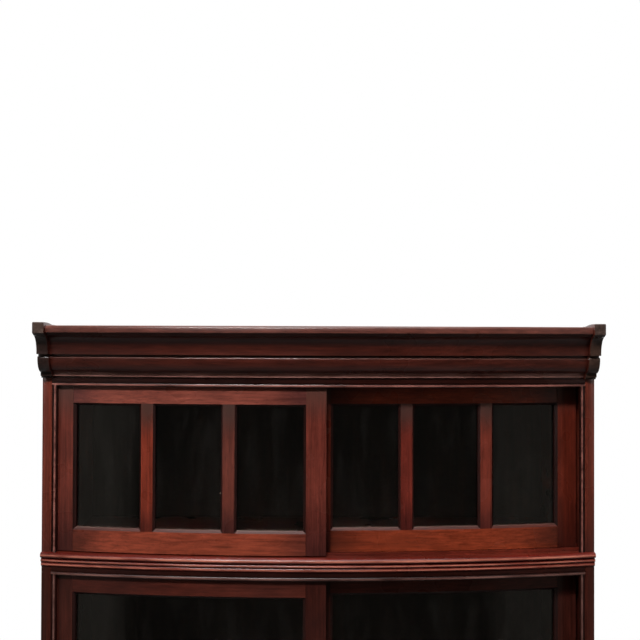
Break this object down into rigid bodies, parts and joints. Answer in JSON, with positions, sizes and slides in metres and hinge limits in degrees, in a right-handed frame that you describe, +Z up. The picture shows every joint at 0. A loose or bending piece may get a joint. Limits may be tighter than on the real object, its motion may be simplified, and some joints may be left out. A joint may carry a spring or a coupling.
{
  "type": "bow-front sectional bookcase",
  "caption": "Tall stacked bookcase with a bowed front, moulded crown, reeded rails, plinth, and bent-glass doors that slide past each other on curved tracks.",
  "frame": {"origin": "middle of the bookcase in plan, on the floor it stands on", "axes": "+Z up, front faces -Y, +X to the right of someone who faces the doors"},
  "size_m": [0.889, 0.3682, 1.5575],
  "materials": {
    "case_wood": "dark red-brown stained mahogany, French polished",
    "rail_wood": "red-brown stained mahogany, glossy polish worn on the reeds",
    "door_wood": "red-brown stained mahogany, satin to gloss polish",
    "carcass_wood": "thinly stained secondary wood, dull",
    "door_glass": "clear bent sheet glass, slightly uneven"
  },
  "bodies": {
    "case": {"crown_end_left": "case_wood", "crown_end_right": "case_wood", "crown_moulding": "case_wood", "crown_dust_board": "carcass_wood", "crown_back_rail": "carcass_wood", "section_1_side_left": "case_wood", "section_1_side_right": "case_wood", "section_1_bead_strip": "case_wood", "section_1_reeded_rail": "rail_wood", "section_1_top_board": "carcass_wood", "section_1_bottom_board": "carcass_wood", "section_1_back_panel": "carcass_wood", "section_2_side_left": "case_wood", "section_2_side_right": "case_wood", "section_2_bead_strip": "case_wood", "section_2_reeded_rail": "rail_wood", "section_2_top_board": "carcass_wood", "section_2_bottom_board": "carcass_wood", "section_2_back_panel": "carcass_wood", "section_3_side_left": "case_wood", "section_3_side_right": "case_wood", "section_3_bead_strip": "case_wood", "section_3_reeded_rail": "rail_wood", "section_3_top_board": "carcass_wood", "section_3_bottom_board": "carcass_wood", "section_3_back_panel": "carcass_wood", "section_4_side_left": "case_wood", "section_4_side_right": "case_wood", "section_4_bead_strip": "case_wood", "section_4_reeded_rail": "rail_wood", "section_4_top_board": "carcass_wood", "section_4_bottom_board": "carcass_wood", "section_4_back_panel": "carcass_wood", "base_end_left": "case_wood", "base_end_right": "case_wood", "base_front": "case_wood", "base_top_board": "carcass_wood", "base_back_rail": "carcass_wood"},
    "section_1_left_door": {"section_1_left_door_frame": "door_wood", "section_1_left_door_glass": "door_glass", "section_1_left_door_muntin_1": "door_wood", "section_1_left_door_muntin_2": "door_wood"},
    "section_1_right_door": {"section_1_right_door_frame": "door_wood", "section_1_right_door_glass": "door_glass", "section_1_right_door_muntin_1": "door_wood", "section_1_right_door_muntin_2": "door_wood"},
    "section_2_left_door": {"section_2_left_door_frame": "door_wood", "section_2_left_door_glass": "door_glass"},
    "section_2_right_door": {"section_2_right_door_frame": "door_wood", "section_2_right_door_glass": "door_glass"},
    "section_3_left_door": {"section_3_left_door_frame": "door_wood", "section_3_left_door_glass": "door_glass"},
    "section_3_right_door": {"section_3_right_door_frame": "door_wood", "section_3_right_door_glass": "door_glass"},
    "section_4_left_door": {"section_4_left_door_frame": "door_wood", "section_4_left_door_glass": "door_glass"},
    "section_4_right_door": {"section_4_right_door_frame": "door_wood", "section_4_right_door_glass": "door_glass"}
  },
  "joints": [
    {"name": "section_1_left_door_slide", "type": "hinge", "parent": "case", "child": "section_1_left_door", "pos_m": [0, 2.29313, 1.318], "axis": [0, 0, 1], "range_deg": [0, 9.86]},
    {"name": "section_1_right_door_slide", "type": "hinge", "parent": "case", "child": "section_1_right_door", "pos_m": [0, 2.29313, 1.318], "axis": [0, 0, -1], "range_deg": [-0.07, 9.9]},
    {"name": "section_2_left_door_slide", "type": "hinge", "parent": "case", "child": "section_2_left_door", "pos_m": [0, 2.29313, 1.002], "axis": [0, 0, 1], "range_deg": [0, 9.86]},
    {"name": "section_2_right_door_slide", "type": "hinge", "parent": "case", "child": "section_2_right_door", "pos_m": [0, 2.29313, 1.002], "axis": [0, 0, -1], "range_deg": [-0.07, 9.9]},
    {"name": "section_3_left_door_slide", "type": "hinge", "parent": "case", "child": "section_3_left_door", "pos_m": [0, 2.29313, 0.659], "axis": [0, 0, 1], "range_deg": [0, 9.86]},
    {"name": "section_3_right_door_slide", "type": "hinge", "parent": "case", "child": "section_3_right_door", "pos_m": [0, 2.29313, 0.659], "axis": [0, 0, -1], "range_deg": [0, 9.97]},
    {"name": "section_4_left_door_slide", "type": "hinge", "parent": "case", "child": "section_4_left_door", "pos_m": [0, 2.29313, 0.2905], "axis": [0, 0, 1], "range_deg": [0, 9.86]},
    {"name": "section_4_right_door_slide", "type": "hinge", "parent": "case", "child": "section_4_right_door", "pos_m": [0, 2.29313, 0.2905], "axis": [0, 0, -1], "range_deg": [0, 9.97]}
  ]
}
